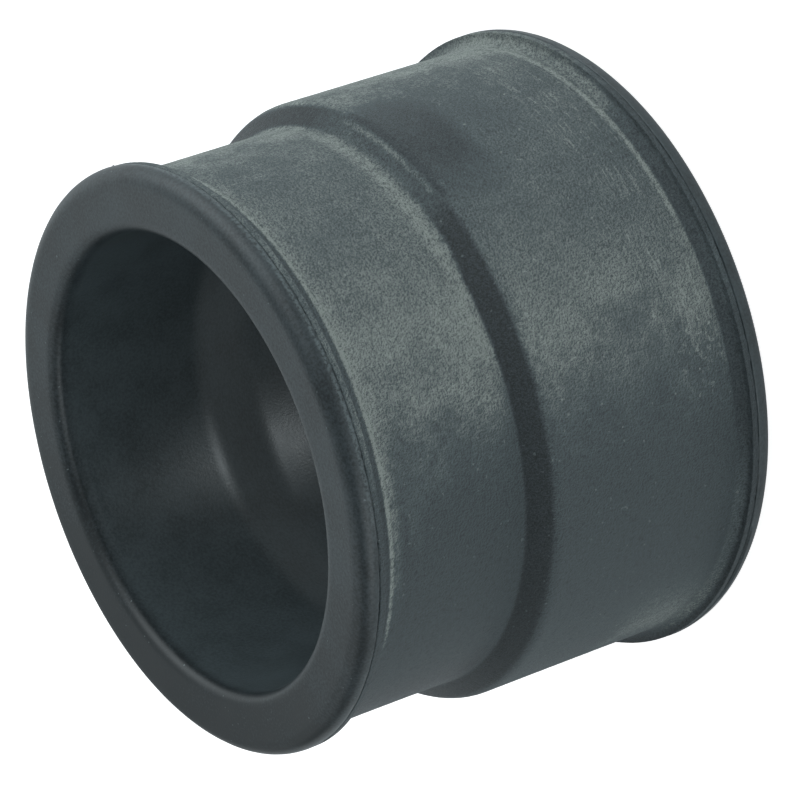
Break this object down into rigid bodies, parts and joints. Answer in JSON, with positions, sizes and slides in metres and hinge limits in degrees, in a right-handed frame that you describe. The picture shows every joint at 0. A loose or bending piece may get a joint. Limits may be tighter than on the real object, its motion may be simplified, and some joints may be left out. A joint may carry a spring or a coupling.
{
  "type": "reducing pipe coupling",
  "caption": "Short stepped rubber sleeve that joins two pipes of different sizes, with a raised rim at each end to keep a hose clamp on.",
  "frame": {"origin": "centre of the large end face, on the bore axis, where the sleeve stands", "axes": "+Z along the bore axis from the large end to the small end; X and Y are equivalent, because every piece is a solid of revolution"},
  "size_m": [0.069, 0.069, 0.0513],
  "materials": {
    "tube_rubber": "smooth moulded black rubber, semi-matt",
    "cover_rubber": "fine-grained moulded black rubber with a grey dusting of release powder",
    "ply_textile": "plain woven polyester cord, rubber-soaked"
  },
  "bodies": {
    "root": {"inner_tube": "tube_rubber", "reinforcing_ply": "ply_textile", "outer_cover": "cover_rubber"}
  },
  "joints": []
}
